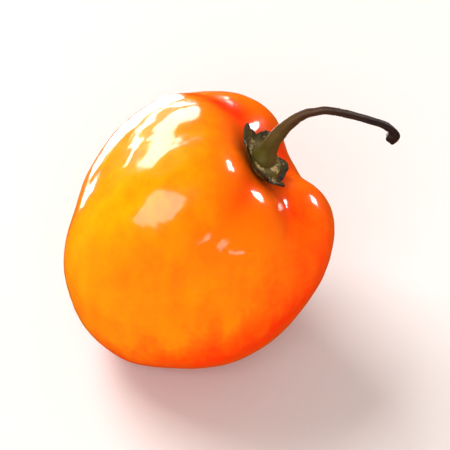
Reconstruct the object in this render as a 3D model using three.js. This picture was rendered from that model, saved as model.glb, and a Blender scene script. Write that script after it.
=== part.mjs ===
// A ripe orange habanero pepper: the lobed fruit, its toothed calyx and its arched stem.
// Millimetres, +Z up. The pepper sits on its blossom end with the stem axis leaning towards +X.
import * as THREE from 'three';

// ---------------------------------------------------------------- fruit

// Lean of the line from blossom end to stem end, in degrees from upright.
const LEAN = 32;

// The fruit swells in lobes around that line. A lobe is an ellipsoid: its turn around the line
// in degrees, its centre's offset from the line and lift along it, and its half sizes.
const LOBES = {
  left: { turn: 214, offset: 6.0, lift: 0.0, out: 15.1, across: 11.7, up: 19.6, down: 18.9 },
  leftBack: { turn: 150, offset: 6.5, lift: 2.5, out: 12.1, across: 13.8, up: 16.4, down: 17.9 },
  back: { turn: 86, offset: 6.5, lift: 4.0, out: 11.7, across: 12.3, up: 13.5, down: 20.0 },
  right: { turn: 347, offset: 9.5, lift: -1.0, out: 10.2, across: 9.2, up: 17.5, down: 20.2 },
  frontRidge: { turn: 286, offset: 6.0, lift: -2.0, out: 9.4, across: 10.4, up: 18.6, down: 20.7 },
  middle: { turn: 20, offset: 1.5, lift: -4.0, out: 15.2, across: 15.2, up: 10.0, down: 20.5 },
  lowFront: { turn: 322, offset: 6.0, lift: -5.0, out: 13.0, across: 13.0, up: 14.2, down: 14.7 },
  lowLeft: { turn: 236, offset: 3.0, lift: -8.0, out: 12.8, across: 12.0, up: 8.0, down: 15.5 },
};
const LOBE_BLEND = 1.5; // how softly one lobe runs into the next

// Furrows run down from the stem between lobes. Start is the polar angle where a furrow is
// deepest and reach how far it fades from there, both in degrees.
const FURROWS = [
  { turn: 122, depth: 2.0, halfWidth: 3.4, start: 34, reach: 18 },
  { turn: 252, depth: 0.7, halfWidth: 2.0, start: 27, reach: 14 },
  { turn: 318, depth: 1.0, halfWidth: 3.2, start: 30, reach: 18 },
  { turn: 50, depth: 1.8, halfWidth: 4.0, start: 45, reach: 35 },
];
const FURROW_RUN_IN = 3.0; // furrows start from nothing over this distance from the stem axis

const HOLLOW = { depth: 3.6, halfAngle: 16 }; // the dip that the calyx sits in
const REST_FLAT = 0.9; // height of fruit pressed flat where it rests

// ---------------------------------------------------------------- calyx

const CALYX = {
  radius: 4.3, // to the middle of its wavy edge
  teeth: 6,
  toothTurn: 20,
  toothHeight: 0.35, // how far the edge swings in and out of that radius
  thickness: 0.9,
  curl: 1.0, // how far the edge stands off the skin
  curlStart: 0.55, // share of the radius where the curl begins
  bossRadius: 2.3,
  bossHeight: 2.3, // height of its flat top above its underside
  bossFillet: 1.2,
};

// ---------------------------------------------------------------- stem

const STEM = {
  footRadius: 1.95,
  lowRadius: 1.3,
  highRadius: 0.55,
  thinBy: 0.55, // share of its length over which it thins from the one to the other
  flareLength: 1.6, // the foot's flare dies away over this length
  tipRadius: 0.95,
  tipLength: 2.4, // length of the swollen end
  straight: 0.8, // leaves the calyx straight for this length
};

// The stem's arch after that straight: points [right, up] from its foot, in the plane of the lean.
const STEM_ARCH = [
  [0.8, 1.7], [1.7, 4.0], [3.4, 6.8], [5.7, 9.2], [8.2, 10.1], [9.9, 10.1], [12.7, 9.3],
  [15.6, 8.1], [17.6, 7.2], [18.9, 6.0], [19.1, 4.8], [18.6, 3.8],
];

const GAP = 0.3; // clearance between pieces that touch

// Faces around and along each piece.
const FACETS = {
  fruit: { around: 72, along: 54 },
  calyx: { around: 60, along: 20 },
  stem: { around: 12, along: 48 },
};
const POLAR_STEPS = 8; // rounds of the search that lays the calyx on the skin

// ---------------------------------------------------------------- shape rules

const { clamp, degToRad, lerp, smoothstep } = THREE.MathUtils;

/** Unit direction at a polar angle from the stem axis and a turn around it, in radians. */
function direction(polar, turn) {
  const across = Math.sin(polar);
  return new THREE.Vector3(across * Math.cos(turn), across * Math.sin(turn), Math.cos(polar));
}

/** Distance from the fruit's middle to one lobe's surface, along a unit direction. */
function lobeRadius(dir, lobe) {
  const turn = degToRad(lobe.turn);
  const outward = dir.x * Math.cos(turn) + dir.y * Math.sin(turn);
  const sideways = dir.y * Math.cos(turn) - dir.x * Math.sin(turn);
  const hit = (upHalf) => {
    const a = (outward / lobe.out) ** 2 + (sideways / lobe.across) ** 2 + (dir.z / upHalf) ** 2;
    const b = (outward * lobe.offset) / lobe.out ** 2 + (dir.z * lobe.lift) / upHalf ** 2;
    const c = (lobe.offset / lobe.out) ** 2 + (lobe.lift / upHalf) ** 2 - 1;
    return (b + Math.sqrt(Math.max(b * b - a * c, 0))) / a;
  };
  const upper = hit(lobe.up);
  return upper * dir.z >= lobe.lift ? upper : hit(lobe.down);
}

/** Depth of all the furrows at a unit direction where the lobes reach the given radius. */
function furrowDepth(dir, radius) {
  const polar = Math.acos(clamp(dir.z, -1, 1));
  return FURROWS.reduce((sum, furrow) => {
    const turn = degToRad(furrow.turn);
    const along = radius * (dir.x * Math.cos(turn) + dir.y * Math.sin(turn));
    const side = radius * (dir.y * Math.cos(turn) - dir.x * Math.sin(turn));
    const down = (polar - degToRad(furrow.start)) / degToRad(furrow.reach);
    const profile = Math.exp(-((side / furrow.halfWidth) ** 2) - down ** 2);
    return sum + furrow.depth * profile * smoothstep(along, 0, FURROW_RUN_IN);
  }, 0);
}

/** Distance from the fruit's middle to its skin, along a unit direction. */
function skinRadius(dir) {
  const lobes = Object.values(LOBES).map((lobe) => lobeRadius(dir, lobe));
  const largest = Math.max(...lobes);
  const crowd = lobes.reduce((sum, r) => sum + Math.exp((r - largest) / LOBE_BLEND), 0);
  const swell = largest + LOBE_BLEND * Math.log(crowd);
  const polar = Math.acos(clamp(dir.z, -1, 1));
  const hollow = HOLLOW.depth * Math.exp(-((polar / degToRad(HOLLOW.halfAngle)) ** 2));
  return swell - furrowDepth(dir, swell) - hollow;
}

/** Polar angle at which the skin is a given distance from the stem axis, near the stem. */
function polarAtDistance(distance, turn) {
  let polar = 0;
  for (let step = 0; step < POLAR_STEPS; step += 1) {
    polar = Math.asin(distance / skinRadius(direction(polar, turn)));
  }
  return polar;
}

/** Moves every vertex of a geometry to where place(vertex) puts it. */
function shape(geometry, place) {
  const position = geometry.attributes.position;
  const vertex = new THREE.Vector3();
  for (let i = 0; i < position.count; i += 1) {
    vertex.fromBufferAttribute(position, i);
    position.setXYZ(i, ...place(vertex).toArray());
  }
  geometry.computeVertexNormals();
  return geometry;
}

/** A unit sphere whose poles lie on Z. */
function unitSphere({ around, along }) {
  return new THREE.SphereGeometry(1, around, along).rotateX(Math.PI / 2);
}

// ---------------------------------------------------------------- pieces

const lean = degToRad(LEAN);
const stemAxis = new THREE.Vector3(Math.sin(lean), 0, Math.cos(lean));
const hollowFloor = skinRadius(direction(0, 0));
const calyxTop = hollowFloor + GAP + CALYX.bossHeight;

/** The fruit, leaned over and pressed flat underneath. */
function fruitGeometry() {
  const geometry = unitSphere(FACETS.fruit);
  shape(geometry, (v) => v.normalize().multiplyScalar(skinRadius(v)));
  geometry.rotateY(lean);
  geometry.computeBoundingBox();
  const floor = geometry.boundingBox.min.z + REST_FLAT;
  return shape(geometry, (v) => v.setZ(Math.max(v.z, floor)));
}

/** The calyx: a thin saucer that follows the skin, with a curled, toothed edge and a flat boss. */
function calyxGeometry() {
  return shape(unitSphere(FACETS.calyx), (v) => {
    const share = Math.min(Math.hypot(v.x, v.y), 1);
    const turn = Math.atan2(v.y, v.x);
    const tooth = Math.cos(CALYX.teeth * (turn - degToRad(CALYX.toothTurn)));
    const distance = share * (CALYX.radius + CALYX.toothHeight * tooth * share);
    const polar = polarAtDistance(distance, turn);
    const dir = direction(polar, turn);
    const underside = skinRadius(dir) + GAP + CALYX.curl * smoothstep(share, CALYX.curlStart, 1);
    const leaf = underside + (CALYX.thickness * (1 + v.z)) / 2;
    if (v.z <= 0) return dir.multiplyScalar(leaf);
    const onBoss = 1 - smoothstep(distance, CALYX.bossRadius, CALYX.bossRadius + CALYX.bossFillet);
    return dir.multiplyScalar(Math.max(leaf, lerp(leaf, calyxTop / Math.cos(polar), onBoss)));
  });
}

/** Radius of the stem at a distance along it from its foot. */
function stemRadius(along, length) {
  const thinned = smoothstep(along / length, 0, STEM.thinBy);
  const taper = lerp(STEM.lowRadius, STEM.highRadius, thinned);
  const flare = (STEM.footRadius - STEM.lowRadius) * Math.exp(-((along / STEM.flareLength) ** 2));
  const swelling = smoothstep(along, length - STEM.tipLength, length - STEM.tipLength / 2);
  return taper + flare + (STEM.tipRadius - STEM.highRadius) * swelling;
}

/** The stem: a closed round bar bent along its arch, in the XZ plane. */
function stemGeometry(foot) {
  const straightEnd = stemAxis.clone().multiplyScalar(STEM.straight);
  const arch = STEM_ARCH.map(([right, up]) => new THREE.Vector3(right, 0, up));
  const line = new THREE.CatmullRomCurve3([new THREE.Vector3(), straightEnd, ...arch]);
  const length = line.getLength();
  const bar = new THREE.CylinderGeometry(1, 1, 1, FACETS.stem.around, FACETS.stem.along);
  return shape(bar, (v) => {
    const share = clamp(v.y + 0.5, 0, 1);
    const radius = stemRadius(share * length, length);
    const tangent = line.getTangentAt(share);
    const above = new THREE.Vector3(-tangent.z, 0, tangent.x);
    const centre = line.getPointAt(share).add(foot);
    return centre.addScaledVector(above, v.x * radius).setY(foot.y + v.z * radius);
  });
}

/** A named mesh in a plain finish. */
function piece(name, geometry, color, roughness) {
  const material = new THREE.MeshStandardMaterial({ color, roughness, metalness: 0 });
  const mesh = new THREE.Mesh(geometry, material);
  mesh.name = name;
  return mesh;
}

const fruit = piece('fruit', fruitGeometry(), 0xff9400, 0.22);

const calyx = piece('calyx', calyxGeometry(), 0x4c4a1e, 0.7);
calyx.rotation.y = lean;

const stemFoot = stemAxis.clone().multiplyScalar(calyxTop + GAP);
const stem = piece('stem', stemGeometry(stemFoot), 0x5a4c20, 0.65);

const pepper = new THREE.Group();
pepper.add(fruit, calyx, stem);

// The origin is under the middle of the whole pepper, on the surface it rests on.
const box = new THREE.Box3().setFromObject(pepper, true);
const middle = box.getCenter(new THREE.Vector3());
pepper.position.set(-middle.x, -middle.y, -box.min.z);

export default pepper;
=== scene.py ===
"""A ripe orange habanero pepper, lying on its blossom end on a pale surface.

The fruit, its calyx and its stem are each grown by a Geometry Nodes tree from a few sizes. All three trees
work in millimetres around the middle of the fruit; the finished meshes are in metres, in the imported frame.
"""

from __future__ import annotations

import logging
import math
from dataclasses import dataclass
from enum import Enum

import bpy
from mathutils import Matrix, Vector

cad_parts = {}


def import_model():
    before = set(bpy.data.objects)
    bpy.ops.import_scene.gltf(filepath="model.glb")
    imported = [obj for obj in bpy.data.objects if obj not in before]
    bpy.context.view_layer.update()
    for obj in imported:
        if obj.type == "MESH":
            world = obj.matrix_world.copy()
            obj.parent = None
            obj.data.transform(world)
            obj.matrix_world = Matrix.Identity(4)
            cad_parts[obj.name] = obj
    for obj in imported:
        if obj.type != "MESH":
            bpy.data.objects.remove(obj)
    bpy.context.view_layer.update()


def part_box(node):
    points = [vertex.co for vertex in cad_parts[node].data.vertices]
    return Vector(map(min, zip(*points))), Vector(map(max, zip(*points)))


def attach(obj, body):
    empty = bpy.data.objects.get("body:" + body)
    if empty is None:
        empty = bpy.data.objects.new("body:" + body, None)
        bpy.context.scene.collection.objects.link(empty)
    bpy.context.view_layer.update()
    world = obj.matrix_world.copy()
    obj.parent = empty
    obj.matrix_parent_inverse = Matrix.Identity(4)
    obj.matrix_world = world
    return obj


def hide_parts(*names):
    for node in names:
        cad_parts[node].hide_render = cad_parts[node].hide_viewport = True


log = logging.getLogger("habanero")

MM = 0.001

# A noise swings about this value, so less it the noise swings evenly about zero.
NOISE_MIDDLE = 0.5

# The Mix node's colour sockets share their names with its number sockets, so they go by number.
MIX_SHARE, MIX_UNDER, MIX_OVER, MIX_RESULT = 0, 6, 7, 2


# --------------------------------------------------------------------------------------- node tools


@dataclass(frozen=True)
class Field:
    """A number that varies over a mesh or a material; arithmetic on it adds Math nodes to its tree."""

    socket: bpy.types.NodeSocket

    @property
    def tree(self) -> bpy.types.NodeTree:
        """The node tree that the field is in."""
        return self.socket.id_data

    def math(self, operation: str, *others: Field | float) -> Field:
        """Applies one Math operation, with this field as its first input.

        Args:
            operation: The Math node's operation.
            *others: Its other inputs, in order.

        Returns:
            The field that the operation gives.
        """
        inputs = dict(enumerate((self, *others)))
        return Field(add_node(self.tree, "ShaderNodeMath", inputs, operation=operation).outputs[0])

    def __add__(self, other: Field | float) -> Field:
        """This field plus another."""
        return self.math("ADD", other)

    def __sub__(self, other: Field | float) -> Field:
        """This field less another."""
        return self.math("SUBTRACT", other)

    def __mul__(self, other: Field | float) -> Field:
        """This field times another."""
        return self.math("MULTIPLY", other)

    def __truediv__(self, other: Field | float) -> Field:
        """This field over another."""
        return self.math("DIVIDE", other)

    def __neg__(self) -> Field:
        """This field with its sign turned."""
        return self * -1.0

    def squared(self) -> Field:
        """This field times itself."""
        return self * self

    def exp(self) -> Field:
        """The number e to the power of this field."""
        return self.math("EXPONENT")

    def limited(self, low: float = 0.0, high: float = 1.0) -> Field:
        """This field kept between two numbers."""
        return self.math("MAXIMUM", low).math("MINIMUM", high)

    def eased(self, start: Field | float, end: Field | float) -> Field:
        """Rises smoothly as this field goes from one value to another.

        Args:
            start: Where the rise is still 0.
            end: Where it has reached 1.

        Returns:
            The rise, from 0 to 1.
        """
        inputs = {"Value": self, "From Min": start, "From Max": end}
        rise = add_node(self.tree, "ShaderNodeMapRange", inputs, interpolation_type="SMOOTHSTEP")
        return Field(rise.outputs["Result"])


def feed(target: bpy.types.NodeSocket, source: object) -> None:
    """Links something to an input, or sets the input to a plain value.

    Args:
        target: The input.
        source: A Field, a socket, a node (its first output) or a plain value.
    """
    if isinstance(source, Field):
        source = source.socket
    if isinstance(source, bpy.types.Node):
        source = source.outputs[0]
    if isinstance(source, bpy.types.NodeSocket):
        target.id_data.links.new(source, target)
    else:
        target.default_value = source


def add_node(
    tree: bpy.types.NodeTree, kind: str, inputs: dict[str | int, object] | None = None, **settings: object
) -> bpy.types.Node:
    """Adds a node, sets its properties, and links or sets its inputs.

    Args:
        tree: The node tree that gets the node.
        kind: The node's type name.
        inputs: Input name or number to a Field, a socket, a node (its first output) or a plain value.
        **settings: Properties of the node, by name.

    Returns:
        The new node.
    """
    node = tree.nodes.new(kind)
    for name, value in settings.items():
        setattr(node, name, value)
    for key, source in (inputs or {}).items():
        feed(node.inputs[key], source)
    return node


def new_group(
    name: str, inputs: dict[str, float | Vector], outputs: dict[str, str]
) -> tuple[bpy.types.NodeTree, dict[str, Field]]:
    """Makes an empty Geometry Nodes group with named inputs and outputs.

    Args:
        name: The group's name.
        inputs: Input name to its default value.
        outputs: Output name to its socket type.

    Returns:
        The group, and its inputs as fields by name.
    """
    tree = bpy.data.node_groups.new(name, "GeometryNodeTree")
    for label, value in inputs.items():
        kind = "NodeSocketVector" if isinstance(value, Vector) else "NodeSocketFloat"
        tree.interface.new_socket(label, in_out="INPUT", socket_type=kind).default_value = value
    for label, kind in outputs.items():
        tree.interface.new_socket(label, in_out="OUTPUT", socket_type=f"NodeSocket{kind}")
    given = tree.nodes.new("NodeGroupInput")
    tree.nodes.new("NodeGroupOutput")
    return tree, {socket.name: Field(socket) for socket in given.outputs if socket.name}


def give(tree: bpy.types.NodeTree, outputs: dict[str, object]) -> None:
    """Links fields, sockets or nodes to a group's outputs, by name."""
    for name, source in outputs.items():
        feed(tree.nodes["Group Output"].inputs[name], source)


def finish_growth(tree: bpy.types.NodeTree, geometry: bpy.types.Node, finish: bpy.types.Material) -> None:
    """Ends a growth tree: smooth shading, no instances left, and one material on all of it.

    Args:
        tree: The growth tree.
        geometry: The node that gives the finished shape.
        finish: The piece's material.
    """
    smooth = add_node(tree, "GeometryNodeSetShadeSmooth", {"Geometry": geometry})
    whole = add_node(tree, "GeometryNodeRealizeInstances", {"Geometry": smooth})
    dressed = add_node(tree, "GeometryNodeSetMaterial", {"Geometry": whole, "Material": finish})
    give(tree, {"Geometry": dressed})


def grown(name: str, tree: bpy.types.NodeTree, sizes: dict[str, float], shift: Vector) -> bpy.types.Object:
    """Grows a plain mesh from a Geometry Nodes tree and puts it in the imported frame.

    Args:
        name: The piece's name.
        tree: The tree, ending in a realised mesh in millimetres.
        sizes: The tree's inputs, by name.
        shift: From the fruit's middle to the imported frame's origin, in metres.

    Returns:
        The finished piece, with no modifier left on it.
    """
    seed = bpy.data.objects.new(f"{name}_seed", bpy.data.meshes.new(f"{name}_seed"))
    bpy.context.scene.collection.objects.link(seed)
    modifier = seed.modifiers.new("Growth", "NODES")
    modifier.node_group = tree
    identifiers = {item.name: item.identifier for item in tree.interface.items_tree if item.in_out == "INPUT"}
    for label, value in sizes.items():
        modifier[identifiers[label]] = value
    depsgraph = bpy.context.evaluated_depsgraph_get()
    mesh = bpy.data.meshes.new_from_object(seed.evaluated_get(depsgraph), depsgraph=depsgraph)
    bpy.data.objects.remove(seed)
    mesh.name = name
    mesh.transform(Matrix.Translation(shift) @ Matrix.Scale(MM, 4))
    piece = bpy.data.objects.new(name, mesh)
    bpy.context.scene.collection.objects.link(piece)
    return piece


# --------------------------------------------------------------------------------------- finishes


def linear(hex_colour: str) -> tuple[float, float, float, float]:
    """Turns an sRGB hex colour such as "#FF8800" to linear red, green, blue and alpha."""
    channels = [int(hex_colour[i : i + 2], 16) / 255 for i in (1, 3, 5)]
    return (*(c / 12.92 if c <= 0.04045 else ((c + 0.055) / 1.055) ** 2.4 for c in channels), 1.0)


def layered(tree: bpy.types.NodeTree, ground: str, *layers: tuple[object, str]) -> bpy.types.NodeSocket:
    """Lays colours over a ground colour, each by its own share.

    Args:
        tree: The node tree.
        ground: The colour underneath, as sRGB hex.
        *layers: For each colour on top, its share from 0 to 1 and its sRGB hex value.

    Returns:
        The colour that is seen.
    """
    seen = linear(ground)
    for share, colour in layers:
        inputs = {MIX_SHARE: share, MIX_UNDER: seen, MIX_OVER: linear(colour)}
        seen = add_node(tree, "ShaderNodeMix", inputs, data_type="RGBA").outputs[MIX_RESULT]
    return seen


def blank_material(name: str) -> tuple[bpy.types.Material, bpy.types.NodeTree, bpy.types.NodeSocket]:
    """Makes a material to build patterns on.

    Args:
        name: The material's name.

    Returns:
        The material, its node tree, and object coordinates in millimetres, so that a pattern's scale is one
        over its real size.
    """
    material = bpy.data.materials.new(name)
    material.use_nodes = True
    tree = material.node_tree
    coordinates = add_node(tree, "ShaderNodeTexCoord").outputs["Object"]
    place = add_node(tree, "ShaderNodeVectorMath", {0: coordinates, "Scale": 1 / MM}, operation="SCALE")
    return material, tree, place.outputs[0]


def dress(material: bpy.types.Material, settings: dict[str, object]) -> bpy.types.Material:
    """Sets or links the sockets of a material's shader.

    Args:
        material: The material.
        settings: Socket name to a Field, a socket, a node or a plain value.

    Returns:
        The same material.
    """
    shader = material.node_tree.nodes["Principled BSDF"]
    for name, source in settings.items():
        feed(shader.inputs[name], source)
    return material


@dataclass(frozen=True)
class PepperSkin:
    """Ripe pepper skin: a taut cuticle under a natural wax, grown, not polished.

    The wax gives sharp, bright window reflections; the flesh under it lets light in, so that shaded sides and
    furrows glow a little redder than lit ones. Light and shade are also painted into the colour: the lit left
    side is painted yellower, and the shaded right and lower sides, the foot, the furrows and the collar
    around the stem are painted a redder orange. Slopes are shares for each millimetre to the right or upward.
    """

    ripe: str = "#FF7400"
    # Painted light: the lit left side is painted this yellower orange.
    painted_light_yellow: str = "#FF9400"
    # Painted shade: the shaded right and lower sides, the foot, the furrows and the collar are painted this
    # red-orange.
    painted_shade_red: str = "#FF2800"
    blotch_mm: float = 7.0
    blotch_share: float = 1.1
    streak_mm: float = 2.6
    streak_length_mm: float = 14.0
    streak_share: float = 1.2
    fleck_mm: float = 1.1
    fleck_share: float = 0.5
    # How the painted light on the left side fades to the right, and its level.
    painted_light_slope_right: float = -0.03
    painted_light_level: float = 0.02
    # How the painted shade grows to the right, downward, at the foot, in the furrows and around the stem.
    shade_slope_right: float = 0.052
    shade_slope_up: float = -0.045
    shade_mottling: float = -0.7
    shade_level: float = 1.0
    foot_mm: float = 24.0
    foot_shade: float = 1.15
    groove_shade: float = 0.5
    collar_shade: float = 0.28
    pore_mm: float = 0.45
    pore_depth_mm: float = 0.05
    pore_strength: float = 0.12
    scatter_mm: float = 2.6

    def material(self) -> bpy.types.Material:
        """Builds the material.

        Returns:
            The material, which reads the mesh's groove and collar as masks for its painted shade.
        """
        material, tree, place = blank_material("waxy ripe pepper skin")
        x, y, z = map(Field, add_node(tree, "ShaderNodeSeparateXYZ", {0: place}).outputs)
        # Streaks are drawn out along the fruit.
        across, upright = 1 / self.streak_mm, 1 / self.streak_length_mm
        drawn_out = add_node(tree, "ShaderNodeCombineXYZ", {0: x * across, 1: y * across, 2: z * upright})
        patterns = (
            {"Vector": place, "Scale": 1 / self.blotch_mm, "Detail": 3.0},
            {"Vector": drawn_out, "Scale": 1.0, "Detail": 2.0},
            {"Vector": place, "Scale": 1 / self.fleck_mm, "Detail": 2.0},
            {"Vector": place, "Scale": 1 / self.pore_mm, "Detail": 1.0},
        )
        blotches, streaks, flecks, pores = (
            Field(add_node(tree, "ShaderNodeTexNoise", pattern).outputs[0]) - NOISE_MIDDLE
            for pattern in patterns
        )
        groove, collar = (
            Field(add_node(tree, "ShaderNodeAttribute", attribute_name=name).outputs["Fac"])
            for name in ("groove", "collar")
        )
        mottling = blotches * self.blotch_share + streaks * self.streak_share + flecks * self.fleck_share
        # Painted light and shade, with the mottling laid over both: the lit left side is painted yellower,
        # and the shaded right and lower sides, the foot, the furrows and the collar around the stem are
        # painted a deeper red-orange as shade.
        painted_light_and_mottling = (x * self.painted_light_slope_right + mottling + self.painted_light_level).limited()
        # Painted shade: redder to the right and downward, more at the foot, then in the furrows and the
        # collar.
        slope = x * self.shade_slope_right + z * self.shade_slope_up + mottling * self.shade_mottling
        foot = z.eased(self.foot_mm, 0.0) * self.foot_shade
        shade = (slope + foot + self.shade_level).limited()
        shade = (shade + groove * self.groove_shade + collar * self.collar_shade).limited()
        bump = {"Strength": self.pore_strength, "Distance": self.pore_depth_mm * MM, "Height": pores}
        settings = {
            # The pepper's own orange, with painted light on the lit side and painted shade on the shaded
            # sides.
            "Base Color": layered(tree, self.ripe, (painted_light_and_mottling, self.painted_light_yellow), (shade, self.painted_shade_red)),
            "Roughness": 0.3,
            "IOR": 1.4,
            "Specular IOR Level": 0.04,
            "Subsurface Weight": 0.35,
            "Subsurface Radius": (1.0, 0.3, 0.08),
            "Subsurface Scale": self.scatter_mm * MM,
            "Coat Weight": 1.0,
            "Coat Roughness": 0.12,
            "Coat IOR": 1.42,
            "Normal": add_node(tree, "ShaderNodeBump", bump),
        }
        return dress(material, settings)


@dataclass(frozen=True)
class CalyxLeaf:
    """Calyx tissue: a thick green leaf that dries from its toothed edge inward.

    It is dull and grainy, with corky tan spots near the stem and a nearly black edge.
    """

    green: str = "#5A4E14"
    dried: str = "#0E0A03"
    corky: str = "#C8AE70"
    patch_mm: float = 1.6
    grain_mm: float = 0.5
    grain_depth_mm: float = 0.25
    grain_strength: float = 0.6
    grain_share: float = 0.8
    dry_edge: float = 2.4
    dry_patches: float = 1.3
    dry_level: float = -1.45
    cork_contrast: float = 5.0
    cork_edge: float = -1.7
    cork_level: float = 1.0

    def material(self) -> bpy.types.Material:
        """Builds the material.

        Returns:
            The material, which reads the mesh's edge.
        """
        material, tree, place = blank_material("drying pepper calyx")
        patterns = (
            {"Vector": place, "Scale": 1 / self.patch_mm, "Detail": 3.0},
            {"Vector": place, "Scale": 1 / self.grain_mm, "Detail": 4.0, "Roughness": 0.6},
        )
        patches, grain = (
            Field(add_node(tree, "ShaderNodeTexNoise", pattern).outputs[0]) - NOISE_MIDDLE
            for pattern in patterns
        )
        edge = Field(add_node(tree, "ShaderNodeAttribute", attribute_name="edge").outputs["Fac"])
        fine = grain * self.grain_share
        dry = (edge * self.dry_edge + self.dry_level + patches * self.dry_patches + fine).limited()
        cork = ((patches + fine) * self.cork_contrast + self.cork_level + edge * self.cork_edge).limited()
        bump = {"Strength": self.grain_strength, "Distance": self.grain_depth_mm * MM, "Height": grain}
        settings = {
            "Base Color": layered(tree, self.green, (dry, self.dried), (cork, self.corky)),
            "Roughness": 0.62,
            "Specular IOR Level": 0.1,
            "Normal": add_node(tree, "ShaderNodeBump", bump),
        }
        return dress(material, settings)


@dataclass(frozen=True)
class StemBark:
    """Stem skin: smooth and olive green by the fruit, drying to dark brown at the broken-off end.

    It is duller than the fruit, with a fine grain and uneven brown patches.
    """

    fresh: str = "#4E4414"
    tan: str = "#3E2610"
    dark: str = "#17110F"
    patch_mm: float = 2.5
    grain_mm: float = 0.35
    grain_depth_mm: float = 0.15
    grain_strength: float = 0.5
    grain_share: float = 0.5
    brown_along: float = 2.6
    brown_patches: float = 1.2
    brown_level: float = -0.1
    black_along: float = 2.2
    black_patches: float = 0.8
    black_level: float = -0.8

    def material(self) -> bpy.types.Material:
        """Builds the material.

        Returns:
            The material, which reads how far along the stem a point of the mesh is.
        """
        material, tree, place = blank_material("drying pepper stem")
        sizes = (self.patch_mm, self.grain_mm)
        patterns = ({"Vector": place, "Scale": 1 / size, "Detail": 3.0} for size in sizes)
        patches, grain = (
            Field(add_node(tree, "ShaderNodeTexNoise", pattern).outputs[0]) - NOISE_MIDDLE
            for pattern in patterns
        )
        along = Field(add_node(tree, "ShaderNodeAttribute", attribute_name="along").outputs["Fac"])
        browned = (along * self.brown_along + self.brown_level + patches * self.brown_patches).limited()
        blackened = (along * self.black_along + self.black_level + patches * self.black_patches).limited()
        height = grain * self.grain_share
        bump = {"Strength": self.grain_strength, "Distance": self.grain_depth_mm * MM, "Height": height}
        settings = {
            "Base Color": layered(tree, self.fresh, (browned, self.tan), (blackened, self.dark)),
            "Roughness": 0.5,
            "Specular IOR Level": 0.2,
            "Normal": add_node(tree, "ShaderNodeBump", bump),
        }
        return dress(material, settings)


@dataclass(frozen=True)
class WhiteSweep:
    """Matt white studio card: pressed paper fibres, so nearly even and without any shine."""

    white: str = "#C8C3C0"
    shaded: str = "#C2BDBA"
    fibre_mm: float = 4.0
    fibre_share: float = 0.1
    fibre_level: float = 0.05

    def material(self) -> bpy.types.Material:
        """Builds the material.

        Returns:
            The material.
        """
        material, tree, place = blank_material("matt white card")
        pattern = {"Vector": place, "Scale": 1 / self.fibre_mm, "Detail": 2.0}
        fibres = Field(add_node(tree, "ShaderNodeTexNoise", pattern).outputs[0]) - NOISE_MIDDLE
        share = (fibres * self.fibre_share + self.fibre_level).limited()
        colour = layered(tree, self.white, (share, self.shaded))
        return dress(material, {"Base Color": colour, "Roughness": 0.9, "Specular IOR Level": 0.1})


# --------------------------------------------------------------------------------------- the fruit's rule


@dataclass(frozen=True)
class Lobe:
    """One swelling of the fruit: an ellipsoid placed around the stem axis, in degrees and millimetres."""

    turn: float
    offset: float
    lift: float
    out: float
    across: float
    up: float
    down: float

    def reach(self, x: Field, y: Field, z: Field) -> Field:
        """Measures from the fruit's middle to this lobe's surface.

        Args:
            x: A unit direction's first part.
            y: Its second part.
            z: Its part along the stem axis.

        Returns:
            The distance along that direction.
        """
        turn = math.radians(self.turn)
        outward = x * math.cos(turn) + y * math.sin(turn)
        sideways = y * math.cos(turn) - x * math.sin(turn)
        upper = self._hit(outward, sideways, z, self.up)
        lower = self._hit(outward, sideways, z, self.down)
        is_upper = (upper * z).math("GREATER_THAN", self.lift)
        return lower + is_upper * (upper - lower)

    def _hit(self, outward: Field, sideways: Field, z: Field, half: float) -> Field:
        """Measures from the fruit's middle to one whole ellipsoid.

        Args:
            outward: A unit direction's part towards the lobe.
            sideways: Its part across that.
            z: Its part along the stem axis.
            half: Half the ellipsoid's height.

        Returns:
            The distance along that direction.
        """
        a = (outward / self.out).squared() + (sideways / self.across).squared() + (z / half).squared()
        b = outward * (self.offset / self.out**2) + z * (self.lift / half**2)
        c = (self.offset / self.out) ** 2 + (self.lift / half) ** 2 - 1
        return (b + (b.squared() - a * c).math("MAXIMUM", 0.0).math("SQRT")) / a

    def reach_up(self) -> float:
        """Measures from the fruit's middle to this lobe's surface, straight up the stem axis.

        Returns:
            The distance in millimetres.
        """
        a = 1 / self.up**2
        b = self.lift / self.up**2
        c = (self.offset / self.out) ** 2 + (self.lift / self.up) ** 2 - 1
        return (b + math.sqrt(max(b * b - a * c, 0))) / a


@dataclass(frozen=True)
class Furrow:
    """A groove that runs down from the stem: deepest at the polar angle start, and faded out by reach."""

    turn: float
    depth: float
    half_width: float
    start: float
    reach: float

    def sink(self, x: Field, y: Field, polar: Field, radius: Field, run_in: float) -> Field:
        """Measures the groove where the lobes reach a given radius.

        Args:
            x: A unit direction's first part.
            y: Its second part.
            polar: Its angle from the stem axis.
            radius: How far the lobes reach along it.
            run_in: Length over which the groove sets in, from the stem axis outward.

        Returns:
            The groove's depth.
        """
        turn = math.radians(self.turn)
        along = radius * (x * math.cos(turn) + y * math.sin(turn))
        side = radius * (y * math.cos(turn) - x * math.sin(turn))
        down = (polar - math.radians(self.start)) / math.radians(self.reach)
        profile = (-((side / self.half_width).squared() + down.squared())).exp()
        return profile * self.depth * along.eased(0.0, run_in)


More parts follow.
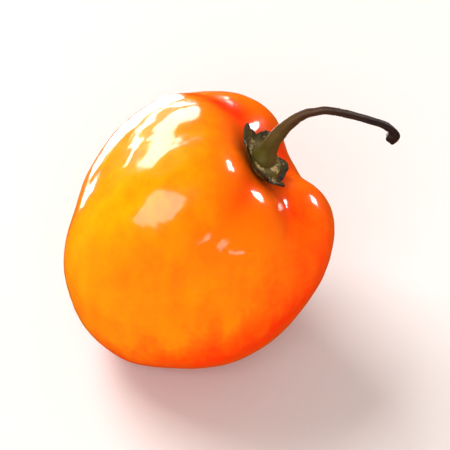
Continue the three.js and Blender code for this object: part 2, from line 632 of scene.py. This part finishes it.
@dataclass(frozen=True)
class FruitRule:
    """The shape that the fruit follows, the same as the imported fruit's."""

    lean: float = 32.0
    lobes: tuple[Lobe, ...] = (
        Lobe(turn=214, offset=6.0, lift=0.0, out=15.1, across=11.7, up=19.6, down=18.9),
        Lobe(turn=150, offset=6.5, lift=2.5, out=12.1, across=13.8, up=16.4, down=17.9),
        Lobe(turn=86, offset=6.5, lift=4.0, out=11.7, across=12.3, up=13.5, down=20.0),
        Lobe(turn=347, offset=9.5, lift=-1.0, out=10.2, across=9.2, up=17.5, down=20.2),
        Lobe(turn=286, offset=6.0, lift=-2.0, out=9.4, across=10.4, up=18.6, down=20.7),
        Lobe(turn=20, offset=1.5, lift=-4.0, out=15.2, across=15.2, up=10.0, down=20.5),
        Lobe(turn=322, offset=6.0, lift=-5.0, out=13.0, across=13.0, up=14.2, down=14.7),
        Lobe(turn=236, offset=3.0, lift=-8.0, out=12.8, across=12.0, up=8.0, down=15.5),
    )
    lobe_blend: float = 1.5
    furrows: tuple[Furrow, ...] = (
        Furrow(turn=122, depth=2.0, half_width=3.4, start=34, reach=18),
        Furrow(turn=252, depth=0.7, half_width=2.0, start=27, reach=14),
        Furrow(turn=318, depth=1.0, half_width=3.2, start=30, reach=18),
        Furrow(turn=50, depth=1.8, half_width=4.0, start=45, reach=35),
    )
    furrow_run_in: float = 3.0
    hollow_depth: float = 3.6
    hollow_half_angle: float = 16.0
    rest_flat: float = 0.9

    def group(self) -> bpy.types.NodeTree:
        """Builds the rule as a node group, once.

        Returns:
            The group, which gives the skin's distance from the middle and the groove's depth by direction.
        """
        name = "Pepper skin rule"
        if name in bpy.data.node_groups:
            return bpy.data.node_groups[name]
        straight_up = {"Direction": Vector((0, 0, 1))}
        tree, given = new_group(name, straight_up, {"Radius": "Float", "Groove": "Float"})
        x, y, z = map(Field, add_node(tree, "ShaderNodeSeparateXYZ", {0: given["Direction"]}).outputs)
        shares = [(lobe.reach(x, y, z) / self.lobe_blend).exp() for lobe in self.lobes]
        crowd = sum(shares[1:], shares[0])
        swell = crowd.math("LOGARITHM", math.e) * self.lobe_blend
        polar = z.limited(-1.0, 1.0).math("ARCCOSINE")
        sinks = [furrow.sink(x, y, polar, swell, self.furrow_run_in) for furrow in self.furrows]
        groove = sum(sinks[1:], sinks[0])
        hollow = (-(polar / math.radians(self.hollow_half_angle)).squared()).exp() * self.hollow_depth
        give(tree, {"Radius": swell - groove - hollow, "Groove": groove})
        return tree

    def follow(self, tree: bpy.types.NodeTree, direction: object) -> tuple[Field, Field]:
        """Adds the rule to a tree.

        Args:
            tree: The tree that gets it.
            direction: A unit direction from the fruit's middle.

        Returns:
            The skin's distance from the middle along it, and the groove's depth there.
        """
        rule = add_node(tree, "GeometryNodeGroup", {"Direction": direction}, node_tree=self.group())
        return Field(rule.outputs["Radius"]), Field(rule.outputs["Groove"])

    def hollow_floor(self) -> float:
        """Measures from the fruit's middle to the bottom of the hollow, where the calyx is centred.

        Returns:
            The distance in millimetres.
        """
        crowd = sum(math.exp(lobe.reach_up() / self.lobe_blend) for lobe in self.lobes)
        return math.log(crowd) * self.lobe_blend - self.hollow_depth

    def stem_axis(self) -> Vector:
        """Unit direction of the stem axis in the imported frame."""
        lean = math.radians(self.lean)
        return Vector((math.sin(lean), 0.0, math.cos(lean)))


# --------------------------------------------------------------------------------------- pieces


@dataclass
class Fruit:
    """The lobed fruit, with the fine relief of its skin."""

    rule: FruitRule
    around: int = 384
    upright: int = 232
    swell_height: float = 0.42
    swell_size: float = 8.0
    ridge_height: float = 0.12
    ridge_size: float = 3.2
    ridge_stretch: float = 0.25
    ridge_least: float = 0.25
    crinkle_height: float = 0.14
    crinkle_size: float = 2.4
    shoulder_from: float = -0.6
    shoulder_to: float = 0.5
    # Where the collar, the mask for the painted shade around the stem, begins and is full.
    collar_from: float = 0.68
    collar_to: float = 0.97

    def sizes(self) -> dict[str, float]:
        """The growth tree's inputs, by name."""
        return {
            "Lean": math.radians(self.rule.lean),
            "Pressed flat": self.rule.rest_flat,
            "Swell height": self.swell_height,
            "Ridge height": self.ridge_height,
            "Crinkle height": self.crinkle_height,
        }

    def tree(self, finish: bpy.types.Material) -> bpy.types.NodeTree:
        """Builds the growth tree.

        Args:
            finish: The fruit's material.

        Returns:
            The tree.
        """
        tree, given = new_group("Pepper fruit", self.sizes(), {"Geometry": "Geometry"})
        facets = {"Segments": self.around, "Rings": self.upright, "Radius": 1.0}
        ball = add_node(tree, "GeometryNodeMeshUVSphere", facets)
        kept = add_node(
            tree,
            "GeometryNodeStoreNamedAttribute",
            {"Geometry": ball.outputs["Mesh"], "Name": "UVMap", "Value": ball.outputs["UV Map"]},
            data_type="FLOAT2",
            domain="CORNER",
        )
        position = add_node(tree, "GeometryNodeInputPosition")
        direction = add_node(tree, "ShaderNodeVectorMath", {0: position}, operation="NORMALIZE").outputs[0]
        x, y, z = map(Field, add_node(tree, "ShaderNodeSeparateXYZ", {0: direction}).outputs)
        radius, groove = self.rule.follow(tree, direction)
        # The groove's depth and the collar around the stem are kept as masks where the skin paints shade.
        for name, value in {"groove": groove, "collar": z.eased(self.collar_from, self.collar_to)}.items():
            inputs = {"Geometry": kept, "Name": name, "Value": value}
            kept = add_node(tree, "GeometryNodeStoreNamedAttribute", inputs)
        reach = radius + self._relief(direction, (x, y, z), given)
        skin = add_node(tree, "ShaderNodeVectorMath", {0: direction, "Scale": reach}, operation="SCALE")
        turned = {"Vector": skin, "Angle": given["Lean"]}
        leaned = add_node(tree, "ShaderNodeVectorRotate", turned, rotation_type="Y_AXIS")
        shaped = add_node(tree, "GeometryNodeSetPosition", {"Geometry": kept, "Position": leaned})
        finish_growth(tree, self._pressed(shaped, given["Pressed flat"]), finish)
        return tree

    def _relief(
        self, direction: bpy.types.NodeSocket, parts: tuple[Field, Field, Field], given: dict[str, Field]
    ) -> Field:
        """Adds the skin's own unevenness: slow swells, ridges that run to the stem, fine crinkles.

        Args:
            direction: A unit direction from the fruit's middle.
            parts: Its three parts.
            given: The tree's inputs.

        Returns:
            The relief's height.
        """
        x, y, z = parts
        body = self.rule.lobes[0].up
        # Ridges run along the fruit, so their noise is drawn out along the stem axis.
        drawn_out = add_node(z.tree, "ShaderNodeCombineXYZ", {0: x, 1: y, 2: z * self.ridge_stretch})
        patterns = (
            {"Vector": direction, "Scale": body / self.swell_size, "Detail": 1.0},
            {"Vector": drawn_out, "Scale": body / self.ridge_size, "Detail": 2.0},
            {"Vector": direction, "Scale": body / self.crinkle_size, "Detail": 2.0},
        )
        swells, ridges, crinkles = (
            Field(add_node(z.tree, "ShaderNodeTexNoise", pattern).outputs[0]) - NOISE_MIDDLE
            for pattern in patterns
        )
        shoulders = z.eased(self.shoulder_from, self.shoulder_to) + self.ridge_least
        slow = swells * given["Swell height"] + ridges * given["Ridge height"] * shoulders
        return slow + crinkles * given["Crinkle height"]

    @staticmethod
    def _pressed(geometry: bpy.types.Node, flat: Field) -> bpy.types.Node:
        """Presses the lowest part of the fruit flat.

        Args:
            geometry: The node that gives the leaning fruit.
            flat: Height of the part that is pressed away.

        Returns:
            The node that gives the pressed fruit.
        """
        position = add_node(flat.tree, "GeometryNodeInputPosition")
        x, y, z = map(Field, add_node(flat.tree, "ShaderNodeSeparateXYZ", {0: position}).outputs)
        heights = {"Geometry": geometry, "Attribute": z}
        measured = add_node(flat.tree, "GeometryNodeAttributeStatistic", heights, data_type="FLOAT")
        floor = Field(measured.outputs["Min"]) + flat
        place = add_node(flat.tree, "ShaderNodeCombineXYZ", {0: x, 1: y, 2: z.math("MAXIMUM", floor)})
        return add_node(flat.tree, "GeometryNodeSetPosition", {"Geometry": geometry, "Position": place})

    def build(self) -> Vector:
        """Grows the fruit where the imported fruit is.

        Returns:
            The shift from the fruit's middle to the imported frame, in metres.
        """
        piece = grown("habanero_fruit", self.tree(PepperSkin().material()), self.sizes(), Vector())
        lowest = Vector(min(v.co[axis] for v in piece.data.vertices) for axis in range(3))
        highest = Vector(max(v.co[axis] for v in piece.data.vertices) for axis in range(3))
        packed_low, packed_high = (Vector(corner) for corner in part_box("fruit"))
        shift = (packed_low + packed_high - lowest - highest) / 2
        shift.z = packed_low.z - lowest.z
        piece.data.transform(Matrix.Translation(shift))
        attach(piece, "root")
        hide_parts("fruit")
        log.info("fruit: %d faces, shifted %s", len(piece.data.polygons), tuple(shift))
        return shift


@dataclass
class Calyx:
    """The toothed green disc between fruit and stem: it follows the skin and its edge curls up."""

    rule: FruitRule
    around: int = 216
    rings: int = 80
    radius: float = 4.3
    teeth: int = 6
    tooth_turn: float = 20.0
    tooth_height: float = 0.4
    tooth_skew: float = 0.5
    tooth_stray: float = 1.1
    stray_waves: float = 1.4
    thickness: float = 1.15
    curl: float = 1.15
    curl_start: float = 0.5
    curl_level: float = 0.9
    curl_by_tooth: float = 0.35
    curl_by_lump: float = 0.8
    lump_waves: float = 4.0
    lump_height: float = 0.25
    boss_radius: float = 2.3
    boss_height: float = 2.6
    boss_fillet: float = 1.4
    rib_height: float = 0.28
    rib_sharpness: float = 3.0
    rib_from: float = 0.25
    rib_to: float = 0.6
    gap: float = 0.02
    settling_steps: int = 3

    def sizes(self) -> dict[str, float]:
        """The growth tree's inputs, by name."""
        return {
            "Lean": math.radians(self.rule.lean),
            "Radius": self.radius,
            "Tooth height": self.tooth_height,
            "Thickness": self.thickness,
            "Curl": self.curl,
            "Boss height": self.boss_height,
            "Rib height": self.rib_height,
        }

    def tree(self, finish: bpy.types.Material) -> bpy.types.NodeTree:
        """Builds the growth tree, which pulls a ball out into a disc that lies on the skin.

        Args:
            finish: The calyx's material.

        Returns:
            The tree.
        """
        tree, given = new_group("Pepper calyx", self.sizes(), {"Geometry": "Geometry"})
        facets = {"Segments": self.around, "Rings": self.rings, "Radius": 1.0}
        ball = add_node(tree, "GeometryNodeMeshUVSphere", facets)
        position = add_node(tree, "GeometryNodeInputPosition")
        x, y, z = map(Field, add_node(tree, "ShaderNodeSeparateXYZ", {0: position}).outputs)
        share = (x.squared() + y.squared()).math("SQRT").limited()
        turn = y.math("ARCTAN2", x)
        on_rim = add_node(tree, "ShaderNodeCombineXYZ", {0: x, 1: y})
        stray, lumps = (
            Field(add_node(tree, "ShaderNodeTexNoise", {"Vector": on_rim, "Scale": waves}).outputs[0])
            - NOISE_MIDDLE
            for waves in (self.stray_waves, self.lump_waves)
        )
        wave = ((turn - math.radians(self.tooth_turn) + stray * self.tooth_skew) * self.teeth).math("COSINE")
        reach = given["Radius"] + (given["Tooth height"] * wave + stray * self.tooth_stray) * share
        distance = share * reach
        direction = self._settled(distance, turn)
        skin, _ = self.rule.follow(tree, direction)
        unevenness = wave * self.curl_by_tooth + self.curl_level + lumps * self.curl_by_lump
        curl = given["Curl"] * share.eased(self.curl_start, 1.0) * unevenness
        crest = wave.math("MAXIMUM", 0.0).math("POWER", self.rib_sharpness)
        rib = crest * share.eased(self.rib_from, self.rib_to) * given["Rib height"]
        upper = z.math("GREATER_THAN", 0.0)
        leaf = skin + self.gap + curl + given["Thickness"] * ((z + 1.0) * 0.5) + rib * z.math("MAXIMUM", 0.0)
        leaf = leaf + lumps * self.lump_height * share * upper
        on_boss = upper * (-distance.eased(self.boss_radius, self.boss_radius + self.boss_fillet) + 1.0)
        # The boss's top is level across the stem axis.
        level = add_node(tree, "ShaderNodeSeparateXYZ", {0: direction}).outputs["Z"]
        top = (given["Boss height"] + self.rule.hollow_floor()) / Field(level)
        height = (leaf + on_boss * (top - leaf)).math("MAXIMUM", leaf)
        place = add_node(tree, "ShaderNodeVectorMath", {0: direction, "Scale": height}, operation="SCALE")
        turned = {"Vector": place, "Angle": given["Lean"]}
        leaned = add_node(tree, "ShaderNodeVectorRotate", turned, rotation_type="Y_AXIS")
        edged = {"Geometry": ball.outputs["Mesh"], "Name": "edge", "Value": share}
        kept = add_node(tree, "GeometryNodeStoreNamedAttribute", edged)
        shaped = add_node(tree, "GeometryNodeSetPosition", {"Geometry": kept, "Position": leaned})
        finish_growth(tree, shaped, finish)
        return tree

    def _settled(self, distance: Field, turn: Field) -> bpy.types.NodeSocket:
        """Finds where a point of the disc lies over the skin.

        The angle from the stem axis depends on the skin's radius there, so it is settled in a few steps.

        Args:
            distance: The point's distance from the stem axis.
            turn: Its turn around that axis.

        Returns:
            The unit direction from the fruit's middle to it.
        """
        polar = distance / self.rule.hollow_floor()
        direction = self._direction(polar, turn)
        for _ in range(self.settling_steps):
            radius, _ = self.rule.follow(distance.tree, direction)
            polar = (distance / radius).math("ARCSINE")
            direction = self._direction(polar, turn)
        return direction

    @staticmethod
    def _direction(polar: Field, turn: Field) -> bpy.types.NodeSocket:
        """Unit direction at a polar angle and a turn."""
        across = polar.math("SINE")
        parts = {0: across * turn.math("COSINE"), 1: across * turn.math("SINE"), 2: polar.math("COSINE")}
        return add_node(polar.tree, "ShaderNodeCombineXYZ", parts).outputs[0]

    def top(self) -> float:
        """Distance from the fruit's middle to the boss that the stem stands on, in millimetres."""
        return self.rule.hollow_floor() + self.boss_height

    def build(self, shift: Vector) -> None:
        """Grows the calyx on the fruit.

        Args:
            shift: From the fruit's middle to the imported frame, in metres.
        """
        piece = grown("toothed_calyx", self.tree(CalyxLeaf().material()), self.sizes(), shift)
        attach(piece, "root")
        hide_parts("calyx")
        log.info("calyx: %d faces", len(piece.data.polygons))


@dataclass
class Stem:
    """The arched stem: a round bar along a given arch, flared at its foot and swollen at its end."""

    rule: FruitRule
    around: int = 60
    steps: int = 240
    foot_radius: float = 2.05
    low_radius: float = 1.3
    high_radius: float = 0.55
    thin_by: float = 0.55
    flare_length: float = 1.6
    tip_radius: float = 0.95
    tip_length: float = 2.4
    tip_swell_share: float = 0.5
    tip_round_from: float = -0.25
    tip_round_to: float = 0.35
    straight: float = 0.8
    sunk: float = 0.3
    ridges: int = 5
    ridge_height: float = 0.1
    ridge_share: float = 0.6
    ridge_twist: float = 1.5
    knot_waves: float = 0.9
    knot_share: float = 2.2
    grain_waves: float = 3.0
    grain_share: float = 0.8
    arch: tuple[tuple[float, float], ...] = (
        (0.8, 1.7),
        (1.7, 4.0),
        (3.4, 6.8),
        (5.7, 9.2),
        (8.2, 10.1),
        (9.9, 10.1),
        (12.7, 9.3),
        (15.6, 8.1),
        (17.6, 7.2),
        (18.9, 6.0),
        (19.1, 4.8),
        (18.6, 3.8),
    )

    def sizes(self) -> dict[str, float]:
        """The growth tree's inputs, by name."""
        return {
            "Foot radius": self.foot_radius,
            "Low radius": self.low_radius,
            "High radius": self.high_radius,
            "Thin by": self.thin_by,
            "Flare length": self.flare_length,
            "Tip radius": self.tip_radius,
            "Tip length": self.tip_length,
            "Ridge height": self.ridge_height,
        }

    def tree(self, line: bpy.types.Object, finish: bpy.types.Material) -> bpy.types.NodeTree:
        """Builds the growth tree.

        Args:
            line: The stem's middle line, a curve.
            finish: The stem's material.

        Returns:
            The tree.
        """
        tree, given = new_group("Pepper stem", self.sizes(), {"Geometry": "Geometry"})
        path = add_node(tree, "GeometryNodeObjectInfo", {"Object": line}, transform_space="ORIGINAL")
        knots = {"Curve": path.outputs["Geometry"]}
        smooth_path = add_node(tree, "GeometryNodeCurveSplineType", knots, spline_type="CATMULL_ROM")
        stepped = add_node(tree, "GeometryNodeResampleCurve", {"Curve": smooth_path, "Count": self.steps})
        along = Field(add_node(tree, "GeometryNodeSplineParameter").outputs["Factor"])
        thick = self._thickness(along, given)
        kept_along = add_node(
            tree, "GeometryNodeStoreNamedAttribute", {"Geometry": stepped, "Name": "along", "Value": along}
        )
        rail = add_node(tree, "GeometryNodeSetCurveRadius", {"Curve": kept_along, "Radius": thick})
        ring = add_node(tree, "GeometryNodeCurvePrimitiveCircle", {"Resolution": self.around, "Radius": 1.0})
        kept_turn = add_node(
            tree, "GeometryNodeStoreNamedAttribute", {"Geometry": ring, "Name": "turn", "Value": along}
        )
        swept = {"Curve": rail, "Profile Curve": kept_turn, "Scale": thick, "Fill Caps": True}
        bar = add_node(tree, "GeometryNodeCurveToMesh", swept)
        finish_growth(tree, self._grooved(bar, given["Ridge height"]), finish)
        return tree

    def _thickness(self, along: Field, given: dict[str, Field]) -> Field:
        """Works out the stem's radius: thinner upward, flared at its foot, swollen and rounded at its end.

        Args:
            along: How far along the stem a point is, from 0 to 1.
            given: The tree's inputs.

        Returns:
            The radius.
        """
        tree = along.tree
        run = Field(add_node(tree, "GeometryNodeSplineParameter").outputs["Length"])
        left = Field(add_node(tree, "GeometryNodeSplineLength").outputs["Length"]) - run
        low, high = given["Low radius"], given["High radius"]
        taper = low + along.eased(0.0, given["Thin by"]) * (high - low)
        flare = (-(run / given["Flare length"]).squared()).exp() * (given["Foot radius"] - low)
        swollen = left.eased(given["Tip length"], given["Tip length"] * self.tip_swell_share)
        rounded = left.eased(self.tip_round_from, self.tip_round_to)
        return (taper + flare + swollen * (given["Tip radius"] - high)) * rounded

    def _grooved(self, bar: bpy.types.Node, height: Field) -> bpy.types.Node:
        """Raises ridges that run along the stem, slight knots and a fine grain.

        Args:
            bar: The node that gives the plain stem.
            height: The ridges' height.

        Returns:
            The node that gives the ridged stem.
        """
        tree = height.tree
        turn, along = (
            Field(add_node(tree, "GeometryNodeInputNamedAttribute", {"Name": name}).outputs["Attribute"])
            for name in ("turn", "along")
        )
        wave = ((turn * math.tau + along * self.ridge_twist) * self.ridges).math("COSINE")
        place = add_node(tree, "GeometryNodeInputPosition")
        knots, grain = (
            Field(add_node(tree, "ShaderNodeTexNoise", {"Vector": place, "Scale": waves}).outputs[0])
            - NOISE_MIDDLE
            for waves in (self.knot_waves, self.grain_waves)
        )
        rise = height * (wave * self.ridge_share + knots * self.knot_share + grain * self.grain_share)
        normal = add_node(tree, "GeometryNodeInputNormal")
        offset = add_node(tree, "ShaderNodeVectorMath", {0: normal, "Scale": rise}, operation="SCALE")
        return add_node(tree, "GeometryNodeSetPosition", {"Geometry": bar, "Offset": offset})

    def _middle_line(self, calyx_top: float) -> bpy.types.Object:
        """Draws the stem's middle line, in millimetres.

        Args:
            calyx_top: Distance from the fruit's middle to the calyx's boss.

        Returns:
            The line, a curve that is in no collection.
        """
        axis = self.rule.stem_axis()
        foot = axis * (calyx_top - self.sunk)
        points = [Vector(), axis * self.straight, *(Vector((right, 0.0, up)) for right, up in self.arch)]
        curve = bpy.data.curves.new("stem_line", "CURVE")
        curve.dimensions = "3D"
        spline = curve.splines.new("POLY")
        spline.points.add(len(points) - 1)
        for knot, point in zip(spline.points, points):
            knot.co = (*(foot + point), 1.0)
        return bpy.data.objects.new("stem_line", curve)

    def build(self, shift: Vector, calyx_top: float) -> None:
        """Grows the stem out of the calyx.

        Args:
            shift: From the fruit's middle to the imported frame, in metres.
            calyx_top: Distance from the fruit's middle to the calyx's boss, in millimetres.
        """
        line = self._middle_line(calyx_top)
        piece = grown("arched_stem", self.tree(line, StemBark().material()), self.sizes(), shift)
        bpy.data.objects.remove(line)
        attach(piece, "root")
        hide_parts("stem")
        log.info("stem: %d faces", len(piece.data.polygons))


# --------------------------------------------------------------------------------------- studio


class Seen(Enum):
    """What a lamp takes part in."""

    SHADING = "shading"
    REFLECTIONS = "reflections"


@dataclass(frozen=True)
class Softbox:
    """One rectangular white lamp, aimed at the pepper; angles are in degrees, lengths in metres."""

    name: str
    azimuth: float
    height: float
    distance: float
    width: float
    depth: float
    watts: float
    seen: Seen

    def build(self, target: Vector) -> None:
        """Hangs the lamp; azimuth 0 is behind the pepper, and turns towards its right.

        Args:
            target: The point that the lamp faces.
        """
        azimuth, height = math.radians(self.azimuth), math.radians(self.height)
        level = math.cos(height)
        away = Vector((math.sin(azimuth) * level, math.cos(azimuth) * level, math.sin(height)))
        light = bpy.data.lights.new(self.name, "AREA")
        light.shape = "RECTANGLE"
        light.size, light.size_y = self.width, self.depth
        light.energy = self.watts
        lamp = bpy.data.objects.new(self.name, light)
        lamp.location = target + away * self.distance
        lamp.rotation_euler = away.to_track_quat("Z", "Y").to_euler()
        lamp.visible_glossy = self.seen is Seen.REFLECTIONS
        lamp.visible_diffuse = self.seen is Seen.SHADING
        lamp.visible_camera = False
        bpy.context.scene.collection.objects.link(lamp)


@dataclass
class Studio:
    """A white card, soft lamps and a long-lens camera that looks down at the pepper.

    Windows stand behind the pepper on its left; the wax mirrors them, and warm orange where it faces none.
    """

    camera_height: float = 48.0
    camera_distance: float = 0.8
    sensor_mm: float = 36.0
    nearest: float = 0.01
    frame_width: float = 0.067
    aim: tuple[float, float, float] = (-0.0009, 0.0, 0.02285)
    floor_size: float = 4.0
    sky: float = 0.55
    sky_colour: str = "#FFF0E6"
    mirrored_colour: str = "#FF7A1E"
    lamps: tuple[Softbox, ...] = (
        Softbox("key", -50, 52, 0.9, width=0.5, depth=0.5, watts=11.5, seen=Seen.SHADING),
        Softbox("low_pane", -19, -18, 0.9, width=0.42, depth=0.46, watts=9.5, seen=Seen.REFLECTIONS),
        Softbox("narrow_pane", -24, 7, 0.9, width=0.76, depth=0.11, watts=4.2, seen=Seen.REFLECTIONS),
        Softbox("high_pane", -24, 28, 0.9, width=0.76, depth=0.3, watts=11.0, seen=Seen.REFLECTIONS),
        Softbox("fill_window", -146, 40, 0.9, width=0.85, depth=0.6, watts=10.0, seen=Seen.REFLECTIONS),
        Softbox("glint", 65, 28, 0.9, width=0.26, depth=0.26, watts=14.0, seen=Seen.REFLECTIONS),
        Softbox("card_glint", 150, -14, 0.9, width=0.12, depth=0.12, watts=0.7, seen=Seen.REFLECTIONS),
        Softbox("front_fill", -170, 40, 1.0, width=0.8, depth=0.6, watts=7.5, seen=Seen.SHADING),
    )

    def build(self) -> None:
        """Sets up the floor, sky, lamps, camera and colour management."""
        self._floor()
        self._sky()
        for lamp in self.lamps:
            lamp.build(Vector(self.aim))
        self._camera()
        bpy.context.scene.view_settings.view_transform = "Standard"
        log.info("studio: %d lamps", len(self.lamps))

    def _floor(self) -> None:
        """Lays the card."""
        half = self.floor_size / 2
        corners = [(-half, -half, 0), (half, -half, 0), (half, half, 0), (-half, half, 0)]
        mesh = bpy.data.meshes.new("white_card")
        mesh.from_pydata(corners, [], [(0, 1, 2, 3)])
        mesh.materials.append(WhiteSweep().material())
        card = bpy.data.objects.new("white_card", mesh)
        bpy.context.scene.collection.objects.link(card)
        card.visible_glossy = False

    def _sky(self) -> None:
        """Lights the room with an even, slightly warm white, which the wax mirrors as orange."""
        world = bpy.data.worlds.new("white_room")
        world.use_nodes = True
        tree = world.node_tree
        mirrored = add_node(tree, "ShaderNodeLightPath").outputs["Is Glossy Ray"]
        background = tree.nodes["Background"]
        feed(background.inputs["Color"], layered(tree, self.sky_colour, (mirrored, self.mirrored_colour)))
        feed(background.inputs["Strength"], self.sky)
        bpy.context.scene.world = world

    def _camera(self) -> None:
        """Sets up the camera."""
        height = math.radians(self.camera_height)
        data = bpy.data.cameras.new("camera")
        data.sensor_width = self.sensor_mm
        data.lens = self.sensor_mm * self.camera_distance / self.frame_width
        data.clip_start = self.nearest
        camera = bpy.data.objects.new("camera", data)
        away = Vector((0.0, -math.cos(height), math.sin(height)))
        camera.location = Vector(self.aim) + away * self.camera_distance
        camera.rotation_euler = away.to_track_quat("Z", "Y").to_euler()
        bpy.context.scene.collection.objects.link(camera)
        bpy.context.scene.camera = camera


def main() -> None:
    """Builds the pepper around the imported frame, and the studio around the pepper."""
    logging.basicConfig(level=logging.INFO, format="%(name)s: %(message)s")
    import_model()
    rule = FruitRule()
    Studio().build()
    shift = Fruit(rule).build()
    calyx = Calyx(rule)
    calyx.build(shift)
    Stem(rule).build(shift, calyx.top())


if __name__ == "__main__":
    main()
